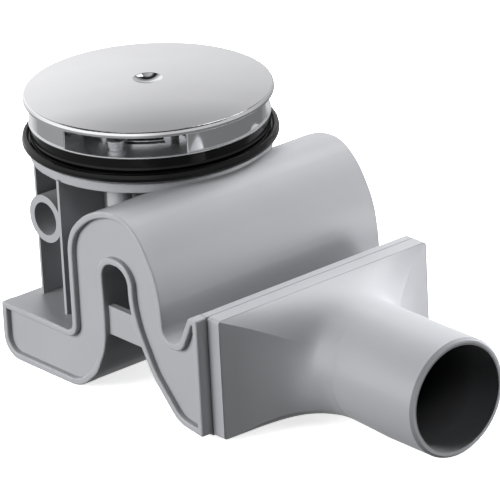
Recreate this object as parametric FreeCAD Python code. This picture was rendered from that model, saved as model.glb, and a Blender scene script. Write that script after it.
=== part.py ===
import FreeCAD, Part
import math
import os

# Shower trap with a round drain head and a horizontal outlet.
# Units are millimetres.  +Z is up, +X runs from the drain to the outlet and
# the Y = 0 plane holds the drain axis and the outlet axis.  The origin is on
# the drain axis in the plane that the trap stands on.

V = FreeCAD.Vector
os.makedirs("parts", exist_ok=True)

# ---------------------------------------------------------------- dimensions
wall = 2.8              # wall of the S-shaped water way
half_body = 56.1        # half width of the water way body along Y
lid_out = 61.8          # outer plane of the side lid, at Y = -lid_out
lid_rim = 2.9           # width of the raised rim of the side lid
lid_recess = 2.5        # depth of the panel behind that rim
body_inset = 0.15       # body outline inside the lid outline
rear_wall = 2.8         # rear wall of the body

end_x0, end_x1 = 95.7, 99.3      # end frame of the body
plate_x1 = 106.4                 # front of the outlet adapter's plate
plate_z0, plate_z1 = 1.3, 53.4   # height of end frame and plate
win_y, win_z0, win_z1 = 50.0, 4.3, 50.4   # window through both

pipe_z = 25.82          # height of the outlet axis
pipe_r = 25.0           # outlet spigot, outside radius
pipe_ri = 22.2          # outlet spigot, bore radius
pipe_x0 = 138.0         # where the trumpet has become round
pipe_x2 = 160.0         # where the slight taper behind the spigot ends
neck_pipe_r = 24.4      # radius at pipe_x0
neck_pipe_z = 26.45     # axis height at pipe_x0
pipe_x1 = 185.0         # mouth of the spigot
pipe_cham = 1.1         # chamfer on the mouth

flange_z0, flange_z1 = 82.94, 87.1   # round flange under the tray
flange_r = 50.7
bowl_r = 31.2           # bowl in the flange
shelf_z = 81.0          # shelf that carries the dip tube
neck_r, neck_ri = 28.6, 26.0
limb_x = 18.1           # outer face of the rising limb
boss_r, boss_pcd_r = 5.2, 39.0
boss_z0 = 60.0
boss_angles = (-60.0, 60.0, 180.0)
insert_r, insert_z0 = 3.5, 77.0

rib_a = (-23.1, -21.9, 44.8)     # x0, x1, reach along Y
rib_b = (0.9, 2.4, 51.8)
sleeve = (-15.8, 60.3, 10.4, 7.2, 46.0, 28.5)   # x, z, R, bore, mouth Y, end Y

gasket_z1 = 92.4        # top of the lower gasket
seal_z1 = 96.9          # top of the upper gasket under the clamp ring
seal_lip_z = 97.75      # top of its outer lip
gasket_ri = 32.9
ring_r = 50.6
ring_plate_z1 = 98.6
ring_wall_r = 50.0
ring_wall_ri = 39.5
ring_top = 107.2
window_mid = -52.9      # middle of the first window of the ring, degrees
window_span = 62.6
collar_r, collar_ri, collar_z1 = 32.7, 31.2, 101.2

slot_mid, slot_half = -42.5, 13.5   # drain slots in the plate of the ring

cover_r = 52.34
cover_edge_z = 110.0
cover_rise = 4.0
cover_t = 1.3
cover_rim_h = 2.6       # height of the rim of the cover
cover_cone_h = 1.35     # upper part of the rim, slightly conical
dimple_r, dimple_depth = 6.2, 2.0

screw_r = 2.5
screw_head_r, screw_head_h = 4.2, 3.6
screw_face_r, screw_face_h = 3.75, 0.8   # washer face under the head
plate_corner = 1.5      # radius of the corners of the plate


# ------------------------------------------------------------------- helpers
def rounded_wire(pts):
    """Closed wire in the XZ plane through corners (x, z, radius)."""
    n = len(pts)
    edges = []
    ends = []
    for i in range(n):
        x, z, r = pts[i]
        p = V(x, 0, z)
        a = V(pts[i - 1][0], 0, pts[i - 1][1]) - p
        b = V(pts[(i + 1) % n][0], 0, pts[(i + 1) % n][1]) - p
        la, lb = a.Length, b.Length
        a.normalize()
        b.normalize()
        ang = math.acos(max(-1.0, min(1.0, a.dot(b))))
        t = r / math.tan(ang / 2.0)
        t = min(t, la * 0.499, lb * 0.499)
        r = t * math.tan(ang / 2.0)
        s, e = p + a * t, p + b * t
        bis = a + b
        bis.normalize()
        m = p + bis * (r / math.sin(ang / 2.0) - r)
        ends.append((s, m, e))
    for i in range(n):
        s, m, e = ends[i]
        edges.append(Part.Arc(s, m, e).toShape())
        s2 = ends[(i + 1) % n][0]
        if (s2 - e).Length > 1e-4:
            edges.append(Part.LineSegment(e, s2).toShape())
    return Part.Wire(edges)


def slab(face, y0, y1):
    """Extrude a face of the XZ plane from y0 to y1."""
    f = face.copy()
    f.translate(V(0, y0, 0))
    return f.extrude(V(0, y1 - y0, 0))


def box(x0, x1, y0, y1, z0, z1):
    return Part.makeBox(x1 - x0, y1 - y0, z1 - z0, V(x0, y0, z0))


def cyl(r, z0, z1, x=0.0, y=0.0):
    return Part.makeCylinder(r, z1 - z0, V(x, y, z0), V(0, 0, 1))


def ring(r0, r1, z0, z1):
    return cyl(r1, z0, z1).cut(cyl(r0, z0 - 1, z1 + 1))


def revolve(pts):
    """Revolve a closed polygon of (r, z) about the Z axis."""
    w = Part.makePolygon([V(r, 0, z) for r, z in pts] + [V(pts[0][0], 0, pts[0][1])])
    return Part.Face(w).revolve(V(0, 0, 0), V(0, 0, 1), 360)


def sector(r0, r1, z0, z1, a0, a1):
    """Part of a ring from angle a0 to a1 in degrees."""
    f = Part.Face(Part.Wire([
        Part.LineSegment(V(r0, 0, z0), V(r1, 0, z0)).toShape(),
        Part.LineSegment(V(r1, 0, z0), V(r1, 0, z1)).toShape(),
        Part.LineSegment(V(r1, 0, z1), V(r0, 0, z1)).toShape(),
        Part.LineSegment(V(r0, 0, z1), V(r0, 0, z0)).toShape()]))
    s = f.revolve(V(0, 0, 0), V(0, 0, 1), a1 - a0)
    s.rotate(V(0, 0, 0), V(0, 0, 1), a0)
    return s


def turned(pts):
    """Revolve a closed profile of (r, z, corner radius) about the Z axis."""
    return Part.Face(rounded_wire(pts)).revolve(V(0, 0, 0), V(0, 0, 1), 360)


def corner_sliver(x0, x1, sy, z, sz, r):
    """What rounding takes off a corner at Y = sy * half_body, height z."""
    yc, zc = sy * (half_body - r), z - sz * r
    ya, yb = sorted((yc, yc + sy * (r + 0.5)))
    za, zb = sorted((zc, zc + sz * (r + 0.5)))
    return box(x0, x1, ya, yb, za, zb).cut(
        Part.makeCylinder(r, x1 - x0 + 2, V(x0 - 1, yc, zc), V(1, 0, 0)))


def polar(r, deg):
    return r * math.cos(math.radians(deg)), r * math.sin(math.radians(deg))


def save(shape, name):
    if shape.ShapeType == "Compound" and len(shape.Solids) == 1:
        shape = shape.Solids[0]
    if not shape.isValid():
        print("INVALID", name)
    print(name, "solids", len(shape.Solids), "volume", round(shape.Volume, 1),
          [round(v, 2) for v in (shape.BoundBox.XMin, shape.BoundBox.XMax,
                                 shape.BoundBox.YMin, shape.BoundBox.YMax,
                                 shape.BoundBox.ZMin, shape.BoundBox.ZMax)])
    shape.exportStep("parts/%s.step" % name)


# ------------------------------------------------------- outline of the S-way
outline = [
    (-29.4, 24.4, 1.2),
    (limb_x, 24.2, 4.0),
    (limb_x, 68.4, 30.0),
    (31.1, 80.6, 40.0),
    (44.8, 85.7, 60.0),
    (56.0, 85.7, 40.0),
    (66.2, 78.2, 40.0),
    (75.0, 63.0, 60.0),
    (77.0, 49.5, 60.0),
    (77.4, 38.7, 6.5),
    (87.0, 38.8, 5.0),
    (94.1, 53.2, 2.2),
    (end_x1, 53.2, 0.8),
    (end_x1, 2.0, 0.8),
    (84.4, 4.1, 14.0),
    (69.0, 20.2, 30.0),
    (59.9, 36.6, 30.0),
    (56.3, 48.0, 40.0),
    (56.3, 62.3, 9.4),
    (39.5, 62.3, 7.3),
    (40.2, 38.0, 60.0),
    (39.9, 24.3, 30.0),
    (33.0, 10.0, 16.0),
    (21.4, 0.0, 18.0),
    (-29.4, 0.0, 9.5),
]
outer_face = Part.Face(rounded_wire(outline))
body_face = Part.Face(outer_face.makeOffset2D(-body_inset).Wires[0])
cavity_face = Part.Face(outer_face.makeOffset2D(-body_inset - wall).Wires[0])
panel_face = Part.Face(outer_face.makeOffset2D(-lid_rim).Wires[0])

# ------------------------------------------------------------------ trap body
s_solid = slab(body_face, -half_body, half_body)
end_frame = box(end_x0, end_x1, -half_body, half_body, plate_z0, plate_z1)

neck = cyl(neck_r, 20.0, shelf_z)
shelf = cyl(bowl_r + 2.6, 75.5, flange_z1)
flange = cyl(flange_r, flange_z0, flange_z1)
flange = flange.makeFillet(0.5, [e for e in flange.Edges if e.Length > 300])
body = s_solid.fuse([end_frame, neck, shelf, flange])

for a in boss_angles:
    bx, by = polar(boss_pcd_r, a)
    body = body.fuse(cyl(boss_r, boss_z0, flange_z1 - 1, bx, by))

# upright ribs under the flange on both sides of the neck
for x0, x1, reach in (rib_a, rib_b):
    for s in (-1, 1):
        y0, y1 = sorted((s * 20.0, s * reach))
        body = body.fuse(box(x0, x1, y0, y1, 22.0, flange_z0 + 1))
# rib at the back of the neck, towards -X
body = body.fuse(box(-27.5, -20.0, -0.9, 0.9, 22.0, flange_z0 + 1))
body = body.fuse(box(-48.5, -20.0, -0.9, 0.9, 62.0, flange_z0 + 1).cut(
    Part.Face(Part.makePolygon([V(-50, -2, 61), V(-28, -2, 61), V(-50, -2, 80), V(-50, -2, 61)])).extrude(V(0, 4, 0))))

# sleeves along Y beside the neck
sx, sz, sr, sb, sy0, sy1 = sleeve
for s in (-1, 1):
    tube = Part.makeCylinder(sr, sy0 - 18.0, V(sx, s * 18.0, sz), V(0, s, 0))
    body = body.fuse(tube)

# bowl, D-shaped neck bore, and the S-shaped cavity
body = body.cut(cyl(bowl_r, shelf_z, flange_z1 + 1))
bore = cyl(neck_ri, 15.0, shelf_z + 1).cut(box(limb_x + body_inset, 60, -40, 40, 0, 120))
body = body.cut(bore)
cavity = slab(cavity_face, -half_body - 1, half_body - rear_wall)
body = body.cut(cavity)
body = body.cut(box(end_x0 - 0.5, end_x1 + 1, -win_y, win_y, win_z0, win_z1))
for s in (-1, 1):
    b = Part.makeCylinder(sb, sy0 - sy1 + 1, V(sx, s * sy1, sz), V(0, s, 0))
    body = body.cut(b)

# holes for the threaded inserts and the groove of the seal ring
for a in boss_angles:
    bx, by = polar(boss_pcd_r, a)
    body = body.cut(cyl(insert_r, 73.5, flange_z1 + 1, bx, by))
body = body.cut(ring(27.2, 29.8, 79.0, shelf_z + 0.5))
for z, sz in ((plate_z1, 1), (plate_z0, -1)):
    body = body.cut(corner_sliver(93.0, end_x1 + 0.5, 1, z, sz, plate_corner))
body = body.removeSplitter()
save(body, "trap_body")

# ------------------------------------------------------------------- side lid
lid = slab(outer_face, -lid_out, -half_body)
lid = lid.cut(slab(panel_face, -lid_out - 1, -lid_out + lid_recess))
web = box(38.0, 66.0, -lid_out + lid_recess, -half_body - 0.3, 29.4, 42.0)
web = web.cut(slab(panel_face, -lid_out - 1, 0)).cut(lid)
keep = Part.Face(Part.makePolygon([V(38, 0, 29), V(66, 0, 29), V(58.5, 0, 43), V(38, 0, 43), V(38, 0, 29)]))
web = web.common(slab(keep, -70, -50))
lid = lid.fuse([s for s in web.Solids if s.Volume > 20])
lid = lid.removeSplitter()
edges = []
for e in lid.Edges:
    b = e.BoundBox
    if abs(b.YMin + lid_out) < 0.01 and abs(b.YMax + lid_out) < 0.01:
        edges.append(e)
try:
    lid2 = lid.makeFillet(0.8, edges)
    if lid2.isValid() and len(lid2.Solids) == 1:
        lid = lid2
except Exception as err:
    print("lid fillet failed", err)
save(lid, "side_lid")


# ------------------------------------------------------------- outlet adapter
# The horn changes from the plate's rectangle to the round tube.  Its upper
# and lower corners are creases that start at the plate and fade out where the
# section has become a circle.
# x, half width, upper crease y and z, lower crease y and z, top z, bottom z
horn_rows = [
    (106.2, 55.98, 55.98, 53.28, 55.98, 1.42, 53.28, 1.42),
    (107.6, 52.7, 52.6, 51.7, 52.6, 2.0, 53.35, 1.35),
    (109.3, 48.5, 48.3, 49.8, 48.3, 3.4, 53.25, 1.50),
    (111.4, 44.2, 43.8, 47.8, 43.8, 5.0, 53.10, 1.75),
    (114.0, 39.7, 39.0, 45.5, 39.0, 6.7, 52.85, 2.10),
    (117.2, 35.0, 33.7, 42.9, 33.7, 8.2, 52.50, 2.40),
    (121.0, 30.6, 28.3, 40.1, 28.3, 9.1, 52.05, 2.60),
    (125.2, 27.4, 24.0, 37.9, 23.8, 9.6, 51.60, 2.60),
    (130.0, 25.5, 22.3, 37.3, 19.9, 9.6, 51.20, 2.45),
    (134.5, 24.7, 21.9, 37.35, 18.0, 9.4, 50.95, 2.20),
    (138.0, 24.4, 21.804, 37.402, 17.253, 9.197, 50.85, 2.05),
]


def arc_points(p, q, r, n=9):
    """n points on the arc through p, q and r, given as (y, z)."""
    c = Part.Arc(V(0, *p), V(0, *q), V(0, *r))
    a0, a1 = c.FirstParameter, c.LastParameter
    return [c.value(a0 + (a1 - a0) * k / (n - 1.0)) for k in range(n)]


def horn_section(x, w, yc, zc, yb, zb, z1, z0):
    """Closed section of four arcs in the plane X = x."""
    zm = neck_pipe_z + 0.9 * max(0.0, min(1.0, (pipe_x0 - x) / (pipe_x0 - plate_x1)))
    arcs = [
        ((-yb, zb), (-w, zm), (-yc, zc)),
        ((-yc, zc), (0.0, z1), (yc, zc)),
        ((yc, zc), (w, zm), (yb, zb)),
        ((yb, zb), (0.0, z0), (-yb, zb)),
    ]
    edges = []
    for p, q, r in arcs:
        if abs(abs(q[0]) - abs(p[0])) < 1e-6 or abs(q[1] - p[1]) < 1e-6:
            pts = [V(x, p[0] + (r[0] - p[0]) * k / 8.0, p[1] + (r[1] - p[1]) * k / 8.0) for k in range(9)]
        else:
            pts = [V(x, v.y, v.z) for v in arc_points(p, q, r)]
        c = Part.BSplineCurve()
        c.interpolate(Points=pts, Parameters=[k / 8.0 for k in range(9)])
        edges.append(c.toShape())
    return Part.Wire(edges)


def horn_solid(rows):
    return Part.makeLoft([horn_section(*r) for r in rows], True, False)


def inset(rows, t):
    """Rows of the inner face, t inside the outer one."""
    out = []
    n = len(rows)
    for i, (x, w, yc, zc, yb, zb, z1, z0) in enumerate(rows):
        p, q = rows[max(0, i - 1)], rows[min(n - 1, i + 1)]
        dx, dw = q[0] - p[0], q[1] - p[1]
        length = math.hypot(dx, dw)
        nx, ny = -dw / length, dx / length
        f = (x - plate_x1) / (pipe_x0 - plate_x1)
        f = max(0.0, min(1.0, f))
        if i == n - 1:
            nx, ny = 0.0, 1.0
        out.append((
            x - t * nx, w - t * ny,
            yc - t * (ny * (1 - f) + 0.8936 * f), zc - t * ((1 - f) * 1.0 + 0.4488 * f),
            yb - t * (ny * (1 - f) + 0.7071 * f), zb + t * ((1 - f) * 1.0 + 0.7071 * f),
            z1 - t, z0 + t))
    return out


def tube(t):
    """Slightly tapered tube behind the spigot, t inside the outer face."""
    c0 = Part.Wire(Part.Circle(V(pipe_x0, 0, neck_pipe_z), V(1, 0, 0), neck_pipe_r - t + 0.1).toShape())
    c1 = Part.Wire(Part.Circle(V(pipe_x2, 0, pipe_z), V(1, 0, 0), pipe_r - t).toShape())
    rings = [c0, c1]
    if t > 0:
        rings.append(Part.Wire(Part.Circle(V(pipe_x1 + 1, 0, pipe_z), V(1, 0, 0), pipe_r - t).toShape()))
    return Part.makeLoft(rings, True, True)


plate = box(end_x1, plate_x1, -half_body, half_body, plate_z0, plate_z1)
spigot = Part.makeCylinder(pipe_r, pipe_x1 - pipe_x2 + 0.01, V(pipe_x2 - 0.01, 0, pipe_z), V(1, 0, 0))
mouth = [e for e in spigot.Edges if abs(e.BoundBox.XMin - pipe_x1) < 0.01 and abs(e.BoundBox.XMax - pipe_x1) < 0.01]
spigot = spigot.makeChamfer(pipe_cham, mouth)
outlet = plate.fuse(horn_solid(horn_rows))
outlet = outlet.fuse(tube(0.0))
outlet = outlet.fuse(spigot)
outlet = outlet.Solids[0]
t_pipe = pipe_r - pipe_ri
inner_rows = inset(horn_rows, t_pipe)
outlet = outlet.cut(horn_solid(inner_rows))
outlet = outlet.cut(box(end_x1 - 1, inner_rows[0][0] + 0.4, -win_y + 0.05, win_y - 0.05, win_z0 + 0.05, win_z1 - 0.05))
outlet = outlet.cut(tube(t_pipe))
for sy in (-1, 1):
    for z, sz in ((plate_z1, 1), (plate_z0, -1)):
        outlet = outlet.cut(corner_sliver(end_x1 - 0.5, 108.5, sy, z, sz, plate_corner))
seam = [e for e in outlet.Edges if abs(e.BoundBox.XMin - end_x1) < 0.01 and abs(e.BoundBox.XMax - end_x1) < 0.01
        and (abs(e.CenterOfMass.y) > half_body - 1.6 or not win_z0 - 1 < e.CenterOfMass.z < win_z1 + 1)]
try:
    o2 = outlet.makeChamfer(0.35, seam)
    if o2.isValid() and len(o2.Solids) == 1:
        outlet = o2.Solids[0]
    else:
        print("seam chamfer not valid")
except Exception as err:
    print("seam chamfer failed", err)
save(outlet, "outlet_adapter")

# -------------------------------------------------------------------- gaskets
lower = turned([
    (gasket_ri, flange_z1, 0.05), (50.9, flange_z1, 0.5), (53.95, flange_z1 + 2.1, 1.8),
    (53.25, flange_z1 + 5.4, 0.9), (51.6, flange_z1 + 5.3, 0.45), (50.9, flange_z1 + 3.9, 0.4),
    (49.75, flange_z1 + 3.9, 0.3), (49.5, gasket_z1, 0.05), (gasket_ri, gasket_z1, 0.05)])
upper = turned([
    (gasket_ri, gasket_z1, 0.05), (49.5, gasket_z1, 0.05), (50.3, gasket_z1 + 0.15, 0.25),
    (50.0, gasket_z1 + 1.3, 0.8), (50.0, seal_lip_z, 0.15), (48.4, seal_lip_z, 0.05),
    (48.4, seal_z1, 0.05), (gasket_ri, seal_z1, 0.05)])
for a in boss_angles:
    bx, by = polar(boss_pcd_r, a)
    hole = cyl(screw_r + 0.3, flange_z1 - 1, seal_z1 + 1, bx, by)
    lower = lower.cut(hole)
    upper = upper.cut(hole)
save(lower, "lower_gasket")
save(upper, "upper_gasket")

# ----------------------------------------------------------------- clamp ring
clamp = turned([
    (collar_ri, seal_z1, 0.05), (48.4, seal_z1, 0.05), (48.4, seal_lip_z, 0.05),
    (ring_r, seal_lip_z, 0.3), (ring_r, ring_plate_z1, 0.35), (collar_ri, ring_plate_z1, 0.05)])
clamp = clamp.fuse(ring(collar_ri, collar_r, seal_z1, collar_z1))
for i in range(3):
    mid = window_mid + 120.0 * i
    a0 = mid + window_span / 2.0
    a1 = mid + 120.0 - window_span / 2.0
    w = sector(ring_wall_ri, ring_wall_r, ring_plate_z1 - 0.6, ring_top, a0, a1)
    up = [e for e in w.Edges if abs(e.BoundBox.ZMax - e.BoundBox.ZMin) > 5
          and abs(e.BoundBox.XMax - e.BoundBox.XMin) < 0.01
          and math.hypot(e.Vertexes[0].X, e.Vertexes[0].Y) > ring_wall_r - 1]
    if up:
        w = w.makeFillet(0.8, up)
    clamp = clamp.fuse(w)
for i in range(3):
    a = slot_mid + 120.0 * i
    clamp = clamp.cut(sector(collar_r + 0.3, collar_r + 3.3, seal_z1 - 1, ring_plate_z1 + 1, a - slot_half, a + slot_half))
for a in boss_angles:
    bx, by = polar(boss_pcd_r, a)
    clamp = clamp.cut(cyl(screw_r + 0.2, seal_z1 - 1, ring_plate_z1 + 0.01, bx, by))
clamp = clamp.removeSplitter()
save(clamp, "clamp_ring")

# ---------------------------------------------------------- screws and inserts
screws, inserts = [], []
for a in boss_angles:
    bx, by = polar(boss_pcd_r, a)
    s = cyl(screw_r, 74.5, ring_plate_z1 + screw_face_h + 0.5)
    s = s.fuse(cyl(screw_face_r, ring_plate_z1, ring_plate_z1 + screw_face_h + 0.3))
    h = cyl(screw_head_r, ring_plate_z1 + screw_face_h, ring_plate_z1 + screw_head_h)
    top = [e for e in h.Edges if e.BoundBox.ZMin > ring_plate_z1 + screw_head_h - 0.01]
    h = h.makeFillet(0.7, top)
    low = [e for e in h.Edges if e.BoundBox.ZMax < ring_plate_z1 + screw_face_h + 0.01 and e.Length > 20]
    h = h.makeFillet(0.25, low)
    hexa = Part.Face(Part.makePolygon([V(2.0 * math.cos(math.radians(60 * k)), 2.0 * math.sin(math.radians(60 * k)),
                                         ring_plate_z1 + screw_head_h - 1.8) for k in range(7)])).extrude(V(0, 0, 5))
    s = s.fuse(h).cut(hexa)
    s = s.removeSplitter()
    s.translate(V(bx, by, 0))
    screws.append(s)
    n = cyl(insert_r, insert_z0, flange_z1 - 0.2, bx, by).cut(cyl(screw_r, insert_z0 - 1, flange_z1 + 1, bx, by))
    inserts.append(n)
save(Part.makeCompound(screws), "clamp_screws")
save(Part.makeCompound(inserts), "threaded_inserts")

# ---------------------------------------------------------- dip tube and seal
tube_cut = box(limb_x - 0.7, 60, -60, 60, -5, shelf_z)
tube_in = box(limb_x - 0.7 - 1.8, 60, -60, 60, -5, shelf_z + 10)
dip = cyl(25.4, 14.6, shelf_z).cut(tube_cut)
dip = dip.fuse(cyl(30.8, shelf_z, shelf_z + 2.2))
dip = dip.cut(cyl(23.6, 10, shelf_z + 10).cut(tube_in))
dip = dip.removeSplitter()
save(dip, "dip_tube")

seal = Part.makeTorus(28.5, 1.0, V(0, 0, 80.0), V(0, 0, 1))
save(seal, "dip_tube_seal")

# ------------------------------------------------------------------- strainer
st_z = shelf_z + 2.2
strainer = cyl(30.6, st_z, st_z + 1.8).fuse(ring(29.2, 30.6, st_z, st_z + 7.5))
for r, n, hr in ((5.0 + 4.5, 6, 2.2), (16.5, 12, 2.4), (23.8, 18, 2.4)):
    for k in range(n):
        x, y = polar(r, 360.0 * k / n)
        strainer = strainer.cut(cyl(hr, st_z - 1, st_z + 3, x, y))
knob = cyl(4.0, st_z, st_z + 9.0).fuse(cyl(6.5, st_z + 9.0, st_z + 11.5))
strainer = strainer.fuse(knob).removeSplitter()
save(strainer, "hair_strainer")

# ----------------------------------------------------------- cover and carrier
rs = (cover_r ** 2 + cover_rise ** 2) / (2.0 * cover_rise)
cz = cover_edge_z + cover_rise - rs


def cap(radius, r_limit, z_low):
    """Solid under a sphere of the dome, above z_low, within r_limit."""
    s = Part.makeSphere(radius, V(0, 0, cz), V(0, 0, 1), -90, 90, 360)
    return s.common(cyl(r_limit, z_low, cover_edge_z + cover_rise + 1))


edge_z0 = cover_edge_z - cover_rim_h
cone_z = cover_edge_z - cover_cone_h
top_skin = cap(rs, cover_r + 0.3, edge_z0)
rim_cut = revolve([
    (cover_r - 0.30 * (cover_cone_h + 1.0), cover_edge_z + 1.0), (cover_r + 1, cover_edge_z + 1.0),
    (cover_r + 1, edge_z0 - 0.01), (cover_r - 0.3, edge_z0 - 0.01), (cover_r, edge_z0 + 0.3), (cover_r, cone_z)])
under = cap(rs - cover_t, 50.9, edge_z0 - 1)
cover = top_skin.cut(under).cut(rim_cut)
top_edge = [e for e in cover.Edges if e.Length > 320 and 0.0 < e.BoundBox.ZMin - cover_edge_z < 0.15]
try:
    c2 = cover.makeFillet(0.7, top_edge)
    if c2.isValid():
        cover = c2
except Exception as err:
    print("cover fillet failed", err)
# pressed dimple in the middle
db = (dimple_r ** 2 + dimple_depth ** 2) / (2.0 * dimple_depth)
top_z = cover_edge_z + cover_rise
cover = cover.fuse(Part.makeSphere(db + 1.2, V(0, 0, top_z - dimple_depth + db)).common(
    cyl(dimple_r + 1.0, top_z - dimple_depth - 2.0, top_z - cover_t + 0.02)))
cover = cover.cut(Part.makeSphere(db, V(0, 0, top_z - dimple_depth + db)))
lip = [e for e in cover.Edges if e.BoundBox.ZMin > top_z - 0.4 and e.Length < 60 and e.Length > 20]
try:
    c2 = cover.makeFillet(0.5, lip)
    if c2.isValid():
        cover = c2
except Exception as err:
    print("dimple fillet failed", err)
save(cover, "cover_disc")

carrier = cap(rs - cover_t, 50.7, ring_top)
carrier = carrier.cut(cyl(60, 0, ring_top))
skirt = ring(48.4, 60, ring_top - 1, cover_edge_z - 1.1)
carrier = carrier.cut(skirt)
carrier = carrier.cut(cyl(7.6, cover_edge_z + 0.5, 120))
for i in range(3):
    carrier = carrier.fuse(sector(28.6, 30.9, 98.5, ring_top + 0.5, -102.0 + 120 * i, -82.0 + 120 * i))
carrier = carrier.removeSplitter()
save(carrier, "cover_carrier")
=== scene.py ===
import math

import bpy
from mathutils import Matrix, Vector

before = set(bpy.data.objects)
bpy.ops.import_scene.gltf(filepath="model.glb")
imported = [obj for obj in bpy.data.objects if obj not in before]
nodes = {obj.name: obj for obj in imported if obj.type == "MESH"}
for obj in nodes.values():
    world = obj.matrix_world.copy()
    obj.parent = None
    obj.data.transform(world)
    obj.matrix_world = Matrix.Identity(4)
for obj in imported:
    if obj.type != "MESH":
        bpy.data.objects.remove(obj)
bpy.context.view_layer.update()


# ------------------------------------------------------------------ materials
def new_material(name):
    m = bpy.data.materials.new(name)
    m.use_nodes = True
    nt = m.node_tree
    nt.nodes.clear()
    out = nt.nodes.new("ShaderNodeOutputMaterial")
    bsdf = nt.nodes.new("ShaderNodeBsdfPrincipled")
    nt.links.new(bsdf.outputs["BSDF"], out.inputs["Surface"])
    return m, nt, bsdf


def coords(nt, scale=(1.0, 1.0, 1.0)):
    tc = nt.nodes.new("ShaderNodeTexCoord")
    mp = nt.nodes.new("ShaderNodeMapping")
    mp.inputs["Scale"].default_value = scale
    nt.links.new(tc.outputs["Object"], mp.inputs["Vector"])
    return mp.outputs["Vector"]


def noise(nt, vec, scale, detail=3.0, rough=0.5):
    n = nt.nodes.new("ShaderNodeTexNoise")
    n.inputs["Scale"].default_value = scale
    n.inputs["Detail"].default_value = detail
    n.inputs["Roughness"].default_value = rough
    nt.links.new(vec, n.inputs["Vector"])
    return n.outputs["Fac"]


def remap(nt, fac, lo, hi, a=0.3, b=0.7):
    r = nt.nodes.new("ShaderNodeMapRange")
    r.inputs["From Min"].default_value = a
    r.inputs["From Max"].default_value = b
    r.inputs["To Min"].default_value = lo
    r.inputs["To Max"].default_value = hi
    nt.links.new(fac, r.inputs["Value"])
    return r.outputs["Result"]


def ramp(nt, fac, stops):
    r = nt.nodes.new("ShaderNodeValToRGB")
    cr = r.color_ramp
    while len(cr.elements) > len(stops):
        cr.elements.remove(cr.elements[-1])
    while len(cr.elements) < len(stops):
        cr.elements.new(1.0)
    for e, (p, c) in zip(cr.elements, stops):
        e.position = p
        e.color = (c[0], c[1], c[2], 1.0)
    nt.links.new(fac, r.inputs["Fac"])
    return r.outputs["Color"]


def bump(nt, bsdf, heights, strength, distance):
    prev = None
    for h, s, d in zip(heights, strength, distance):
        b = nt.nodes.new("ShaderNodeBump")
        b.inputs["Strength"].default_value = s
        b.inputs["Distance"].default_value = d
        nt.links.new(h, b.inputs["Height"])
        if prev is not None:
            nt.links.new(prev, b.inputs["Normal"])
        prev = b.outputs["Normal"]
    nt.links.new(prev, bsdf.inputs["Normal"])


def plastic(name, base, rough=(0.31, 0.40), spread=0.03, grain=0.00002, painted_bore_shade=None):
    """Moulded plastic; the optional duct tuple (x start, axis height, radius, x end) paints shade onto a duct's inner
    wall, darker further in.
    """
    m, nt, b = new_material(name)
    v = coords(nt)
    cloud = noise(nt, v, 14.0, 4.0, 0.55)
    lo = tuple(c * (1.0 - spread) for c in base)
    hi = tuple(min(1.0, c * (1.0 + spread)) for c in base)
    color = ramp(nt, cloud, [(0.3, lo), (0.7, hi)])
    # painted shade: inside the duct past x start the base colour is scaled down, to 0.04 deep inside and 0.50 near the
    # mouth at x end
    if painted_bore_shade:
        x0, z0, radius, x1 = painted_bore_shade
        sep = nt.nodes.new("ShaderNodeSeparateXYZ")
        nt.links.new(v, sep.inputs["Vector"])
        low = nt.nodes.new("ShaderNodeMath")
        low.operation = "SUBTRACT"
        nt.links.new(sep.outputs["Z"], low.inputs[0])
        low.inputs[1].default_value = z0
        flat = nt.nodes.new("ShaderNodeCombineXYZ")
        nt.links.new(sep.outputs["Y"], flat.inputs["X"])
        nt.links.new(low.outputs["Value"], flat.inputs["Y"])
        ln = nt.nodes.new("ShaderNodeVectorMath")
        ln.operation = "LENGTH"
        nt.links.new(flat.outputs["Vector"], ln.inputs[0])
        inside = remap(nt, ln.outputs["Value"], 1.0, 0.0, radius, radius + 0.0003)
        past = remap(nt, sep.outputs["X"], 0.0, 1.0, x0, x0 + 0.0003)
        both = nt.nodes.new("ShaderNodeMath")
        both.operation = "MULTIPLY"
        nt.links.new(inside, both.inputs[0])
        nt.links.new(past, both.inputs[1])
        mix = nt.nodes.new("ShaderNodeMix")
        mix.data_type = "RGBA"
        nt.links.new(both.outputs["Value"], mix.inputs["Factor"])
        nt.links.new(color, mix.inputs["A"])
        painted_shade = nt.nodes.new("ShaderNodeVectorMath")
        painted_shade.operation = "SCALE"
        nt.links.new(color, painted_shade.inputs[0])
        nt.links.new(remap(nt, sep.outputs["X"], 0.04, 0.50, x1 - 0.026, x1 - 0.001), painted_shade.inputs["Scale"])
        nt.links.new(painted_shade.outputs["Vector"], mix.inputs["B"])
        color = mix.outputs["Result"]
    nt.links.new(color, b.inputs["Base Color"])
    fine = noise(nt, v, 900.0, 2.0, 0.6)
    wave = noise(nt, v, 26.0, 2.0, 0.5)
    nt.links.new(remap(nt, noise(nt, v, 60.0, 4.0), rough[0], rough[1]), b.inputs["Roughness"])
    b.inputs["IOR"].default_value = 1.44
    bump(nt, b, [wave, fine], [0.25, 0.35], [0.0004, grain])
    return m


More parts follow.
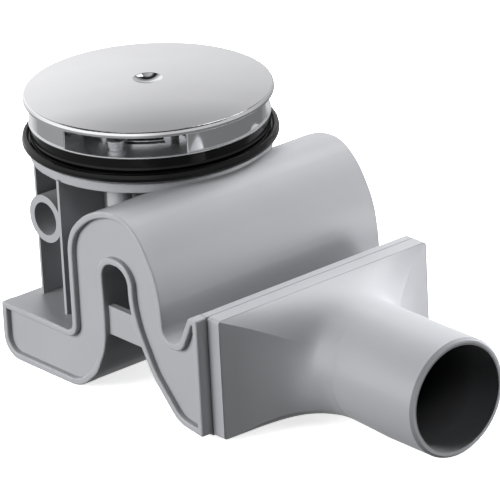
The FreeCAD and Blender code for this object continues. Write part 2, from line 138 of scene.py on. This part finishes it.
def chrome(name, base, rough=(0.045, 0.09), wave_h=0.00006, satin=None):
    """Plated finish; satin = (outside radius, below height, roughness) in metres."""
    m, nt, b = new_material(name)
    v = coords(nt)
    lo = tuple(c * 0.975 for c in base)
    nt.links.new(ramp(nt, noise(nt, v, 40.0, 4.0), [(0.35, lo), (0.65, base)]), b.inputs["Base Color"])
    b.inputs["Metallic"].default_value = 1.0
    r = remap(nt, noise(nt, v, 220.0, 3.0), rough[0], rough[1])
    if satin:
        radius, height, value = satin
        sep = nt.nodes.new("ShaderNodeSeparateXYZ")
        nt.links.new(v, sep.inputs["Vector"])
        flat = nt.nodes.new("ShaderNodeCombineXYZ")
        nt.links.new(sep.outputs["X"], flat.inputs["X"])
        nt.links.new(sep.outputs["Y"], flat.inputs["Y"])
        ln = nt.nodes.new("ShaderNodeVectorMath")
        ln.operation = "LENGTH"
        nt.links.new(flat.outputs["Vector"], ln.inputs[0])
        far = remap(nt, ln.outputs["Value"], 0.0, 1.0, radius, radius + 0.0002)
        low = remap(nt, sep.outputs["Z"], 1.0, 0.0, height, height + 0.0002)
        both = nt.nodes.new("ShaderNodeMath")
        both.operation = "MULTIPLY"
        nt.links.new(far, both.inputs[0])
        nt.links.new(low, both.inputs[1])
        mix = nt.nodes.new("ShaderNodeMix")
        mix.data_type = "FLOAT"
        nt.links.new(both.outputs["Value"], mix.inputs["Factor"])
        nt.links.new(r, mix.inputs["A"])
        mix.inputs["B"].default_value = value
        r = mix.outputs["Result"]
    nt.links.new(r, b.inputs["Roughness"])
    bump(nt, b, [noise(nt, v, 16.0, 1.0)], [0.15], [wave_h])
    return m


def rubber(name):
    m, nt, b = new_material(name)
    v = coords(nt)
    nt.links.new(ramp(nt, noise(nt, v, 90.0, 4.0), [(0.3, (0.0010, 0.0010, 0.0010)), (0.7, (0.0022, 0.0021, 0.0021))]),
                 b.inputs["Base Color"])
    nt.links.new(remap(nt, noise(nt, v, 160.0, 3.0), 0.10, 0.17), b.inputs["Roughness"])
    b.inputs["IOR"].default_value = 1.36
    bump(nt, b, [noise(nt, v, 60.0, 2.0), noise(nt, v, 1200.0, 2.0)], [0.2, 0.2], [0.0003, 0.00002])
    return m


def metal(name, base, rough, aniso=0.0):
    m, nt, b = new_material(name)
    v = coords(nt)
    lo = tuple(c * 0.88 for c in base)
    nt.links.new(ramp(nt, noise(nt, v, 160.0, 4.0), [(0.3, lo), (0.7, base)]), b.inputs["Base Color"])
    b.inputs["Metallic"].default_value = 1.0
    nt.links.new(remap(nt, noise(nt, v, 500.0, 3.0), rough - 0.05, rough + 0.05), b.inputs["Roughness"])
    bump(nt, b, [noise(nt, v, 900.0, 2.0)], [0.2], [0.00003])
    return m


GREY = (0.255, 0.259, 0.272)
body_mat = plastic("body_plastic", GREY)
# the adapter's outlet bore gets painted shade, darker inwards
adapter_mat = plastic("adapter_plastic_bore_shade", GREY, painted_bore_shade=(0.100, 0.0261, 0.0226, 0.172))
lid_mat = plastic("lid_plastic", (0.258, 0.262, 0.274), rough=(0.34, 0.43))
inner_mat = plastic("inner_plastic", (0.86, 0.865, 0.87), rough=(0.34, 0.44))
chrome_mat = chrome("chrome_plate", (0.90, 0.905, 0.915), satin=(0.0, 0.0990, 0.24))
cover_mat = chrome("chrome_cover", (0.93, 0.932, 0.938), rough=(0.04, 0.06), wave_h=0.00003)
rubber_mat = rubber("black_rubber")
brass_mat = metal("brass", (0.72, 0.50, 0.22), 0.30)
steel_mat = metal("bright_steel", (0.58, 0.585, 0.60), 0.24)

looks = {
    "trap_body": body_mat,
    "side_lid": lid_mat,
    "outlet_adapter": adapter_mat,
    "lower_gasket": rubber_mat,
    "upper_gasket": rubber_mat,
    "clamp_ring": chrome_mat,
    "clamp_screws": steel_mat,
    "threaded_inserts": brass_mat,
    "dip_tube": inner_mat,
    "dip_tube_seal": rubber_mat,
    "hair_strainer": inner_mat,
    "cover_disc": cover_mat,
    "cover_carrier": inner_mat,
}
for name, mat in looks.items():
    o = nodes[name]
    if not o.material_slots:
        o.data.materials.append(mat)
    for s in o.material_slots:
        s.material = mat

# ------------------------------------------------------------------- backdrop
mesh = bpy.data.meshes.new("backdrop")
A = math.radians(50.5)
look = Vector((-math.sin(A), math.cos(A), 0.0))      # away from the camera
side = Vector((math.cos(A), math.sin(A), 0.0))
prof = [(-3.6, 0.0), (3.6, 0.0)]
for k in range(1, 17):
    t = math.radians(90.0 * k / 16)
    prof.append((3.6 + 0.9 * math.sin(t), 0.9 - 0.9 * math.cos(t)))
prof.append((4.5, 3.2))
verts, faces = [], []
for d, z in prof:
    for w in (-4.0, 4.0):
        p = look * d + side * w
        verts.append((p.x, p.y, z - 0.0002))
for i in range(len(prof) - 1):
    faces.append((2 * i, 2 * i + 1, 2 * i + 3, 2 * i + 2))
mesh.from_pydata(verts, [], faces)
for p in mesh.polygons:
    p.use_smooth = True
backdrop = bpy.data.objects.new("backdrop", mesh)
bpy.context.scene.collection.objects.link(backdrop)
bm, nt, b = new_material("backdrop_paper")
v = coords(nt)
nt.links.new(ramp(nt, noise(nt, v, 3.0, 3.0), [(0.3, (0.90, 0.90, 0.90)), (0.7, (0.92, 0.92, 0.92))]), b.inputs["Base Color"])
b.inputs["Roughness"].default_value = 0.9
b.inputs["Specular IOR Level"].default_value = 0.1
b.inputs["Emission Color"].default_value = (1.0, 1.0, 1.0, 1.0)
b.inputs["Emission Strength"].default_value = 0.7
mesh.materials.append(bm)
backdrop.visible_diffuse = False
backdrop.visible_glossy = False

# ----------------------------------------------------------------------- world
def world_ramp(wn, fac, stops):
    r = wn.nodes.new("ShaderNodeValToRGB")
    cr = r.color_ramp
    while len(cr.elements) < len(stops):
        cr.elements.new(1.0)
    for e, (el, v) in zip(cr.elements, stops):
        e.position = 0.5 + 0.5 * math.sin(math.radians(el))
        e.color = (v, v, v * 1.02, 1.0)
    wn.links.new(fac, r.inputs["Fac"])
    return r.outputs["Color"]


world = bpy.data.worlds.new("studio")
world.use_nodes = True
wn = world.node_tree
wn.nodes.clear()
wo = wn.nodes.new("ShaderNodeOutputWorld")
bg = wn.nodes.new("ShaderNodeBackground")
wc = wn.nodes.new("ShaderNodeTexCoord")
ws = wn.nodes.new("ShaderNodeSeparateXYZ")
wn.links.new(wc.outputs["Generated"], ws.inputs["Vector"])
wm = wn.nodes.new("ShaderNodeMapRange")
wm.inputs["From Min"].default_value = -1.0
wm.inputs["From Max"].default_value = 1.0
wn.links.new(ws.outputs["Z"], wm.inputs["Value"])
# soft fill for the diffuse light
fill = world_ramp(wn, wm.outputs["Result"], [(-90, 0.10), (-10, 0.09), (10, 0.08), (90, 0.09)])
# what polished surfaces mirror: grey floor, bright horizon, darker ceiling
mirror = world_ramp(wn, wm.outputs["Result"],
                    [(-90, 0.60), (-45, 0.34), (-18, 0.26), (-7, 0.60), (3, 0.82), (14, 0.82), (22, 0.76), (29, 0.66), (37, 0.39), (45, 0.27), (49, 0.02), (63, 0.02), (72, 0.42), (90, 0.42)])
# the mirrored room is brighter on the left
dot = wn.nodes.new("ShaderNodeVectorMath")
dot.operation = "DOT_PRODUCT"
wn.links.new(wc.outputs["Generated"], dot.inputs[0])
dot.inputs[1].default_value = (-0.636, -0.772, 0.0)
tint = wn.nodes.new("ShaderNodeMapRange")
tint.inputs["From Min"].default_value = -0.22
tint.inputs["From Max"].default_value = 0.22
tint.inputs["To Min"].default_value = 0.66
tint.inputs["To Max"].default_value = 1.24
wn.links.new(dot.outputs["Value"], tint.inputs["Value"])
# and its floor is brighter beyond the object
beyond = wn.nodes.new("ShaderNodeVectorMath")
beyond.operation = "DOT_PRODUCT"
wn.links.new(wc.outputs["Generated"], beyond.inputs[0])
beyond.inputs[1].default_value = (-0.772, 0.636, 0.0)
away = wn.nodes.new("ShaderNodeMapRange")
away.inputs["From Min"].default_value = 0.66
away.inputs["From Max"].default_value = 0.92
wn.links.new(beyond.outputs["Value"], away.inputs["Value"])
below = wn.nodes.new("ShaderNodeMapRange")
below.inputs["From Min"].default_value = 0.02
below.inputs["From Max"].default_value = -0.12
wn.links.new(ws.outputs["Z"], below.inputs["Value"])
far_floor = wn.nodes.new("ShaderNodeMath")
far_floor.operation = "MULTIPLY"
wn.links.new(away.outputs["Result"], far_floor.inputs[0])
wn.links.new(below.outputs["Result"], far_floor.inputs[1])
floor_mix = wn.nodes.new("ShaderNodeMix")
floor_mix.data_type = "RGBA"
wn.links.new(far_floor.outputs["Value"], floor_mix.inputs["Factor"])
wn.links.new(mirror, floor_mix.inputs["A"])
floor_mix.inputs["B"].default_value = (0.70, 0.70, 0.71, 1.0)
# and its ceiling is dark in front of the object
front = wn.nodes.new("ShaderNodeMapRange")
front.inputs["From Min"].default_value = 0.02
front.inputs["From Max"].default_value = -0.12
wn.links.new(beyond.outputs["Value"], front.inputs["Value"])
above = wn.nodes.new("ShaderNodeMapRange")
above.inputs["From Min"].default_value = 0.50
above.inputs["From Max"].default_value = 0.62
wn.links.new(ws.outputs["Z"], above.inputs["Value"])
dark = wn.nodes.new("ShaderNodeMath")
dark.operation = "MULTIPLY"
wn.links.new(front.outputs["Result"], dark.inputs[0])
wn.links.new(above.outputs["Result"], dark.inputs[1])
ceiling = wn.nodes.new("ShaderNodeMix")
ceiling.data_type = "RGBA"
wn.links.new(dark.outputs["Value"], ceiling.inputs["Factor"])
wn.links.new(floor_mix.outputs["Result"], ceiling.inputs["A"])
ceiling.inputs["B"].default_value = (0.01, 0.01, 0.01, 1.0)
mirror = ceiling.outputs["Result"]
gain = wn.nodes.new("ShaderNodeVectorMath")
gain.operation = "SCALE"
wn.links.new(mirror, gain.inputs[0])
wn.links.new(tint.outputs["Result"], gain.inputs["Scale"])
lp = wn.nodes.new("ShaderNodeLightPath")
mx = wn.nodes.new("ShaderNodeMix")
mx.data_type = "RGBA"
wn.links.new(lp.outputs["Is Glossy Ray"], mx.inputs["Factor"])
wn.links.new(fill, mx.inputs["A"])
wn.links.new(gain.outputs["Vector"], mx.inputs["B"])
wn.links.new(mx.outputs["Result"], bg.inputs["Color"])
bg.inputs["Strength"].default_value = 1.0
wn.links.new(bg.outputs["Background"], wo.inputs["Surface"])
bpy.context.scene.world = world

target = Vector((0.045, 0.0, 0.05))


def area(name, az, el, dist, size, power, color=(1.0, 1.0, 1.0), size_y=None, glossy=True):
    """Softbox: az and el as seen from the target, azimuth 0 on the -Y side."""
    l = bpy.data.lights.new(name, "AREA")
    l.shape = "RECTANGLE"
    l.size = size
    l.size_y = size_y or size
    l.energy = power
    l.color = color
    o = bpy.data.objects.new(name, l)
    a, e = math.radians(az), math.radians(el)
    d = Vector((math.sin(a) * math.cos(e), -math.cos(a) * math.cos(e), math.sin(e)))
    o.location = target + d * dist
    o.rotation_euler = d.to_track_quat("Z", "Y").to_euler()
    o.visible_camera = False
    o.visible_glossy = glossy
    bpy.context.scene.collection.objects.link(o)
    return o


area("key_left", -24.0, 7.0, 0.95, 0.70, 10.5, glossy=False)
area("key_mid", -10.0, 20.0, 1.1, 0.6, 10.5, glossy=False)
area("back_right", 186.0, 42.0, 1.5, 0.8, 41.0, glossy=False)
area("back_left", 230.0, 35.0, 1.5, 0.8, 23.0, glossy=False)
area("far_side", 156.0, 10.0, 1.5, 0.6, 20.0, glossy=False)
area("high_right", 86.0, 38.0, 1.5, 0.5, 3.8, glossy=False)
area("low_right", 100.0, 6.0, 1.5, 0.4, 3.0, glossy=False)
area("floor_right", 136.0, -3.0, 0.32, 0.08, 0.70, glossy=False)
area("dimple_glint", 178.0, 57.0, 1.5, 0.60, 1.4)

# ---------------------------------------------------------------------- camera
az, el, roll = math.radians(50.499), math.radians(22.764), math.radians(-3.03)
dist = 2.186805
aim = Vector((0.06071, 0.0, 0.110 - 0.056088))
d = Vector((math.sin(az) * math.cos(el), -math.cos(az) * math.cos(el), math.sin(el)))
right = (-d).cross(Vector((0, 0, 1))).normalized()
up = right.cross(-d)
r2 = right * math.cos(roll) + up * math.sin(roll)
u2 = -right * math.sin(roll) + up * math.cos(roll)
pos = aim + d * dist
cam = bpy.data.cameras.new("camera")
cam.sensor_fit = "HORIZONTAL"
cam.sensor_width = 36.0
cam.lens = 5328.414 / 500.0 * 36.0
cam.clip_start = 0.05
cam.clip_end = 30.0
cam_obj = bpy.data.objects.new("camera", cam)
cam_obj.matrix_world = Matrix((
    (r2.x, u2.x, d.x, pos.x),
    (r2.y, u2.y, d.y, pos.y),
    (r2.z, u2.z, d.z, pos.z),
    (0, 0, 0, 1)))
bpy.context.scene.collection.objects.link(cam_obj)
bpy.context.scene.camera = cam_obj

bpy.context.scene.view_settings.view_transform = "Standard"
bpy.context.scene.view_settings.look = "None"
bpy.context.scene.view_settings.exposure = 0.0
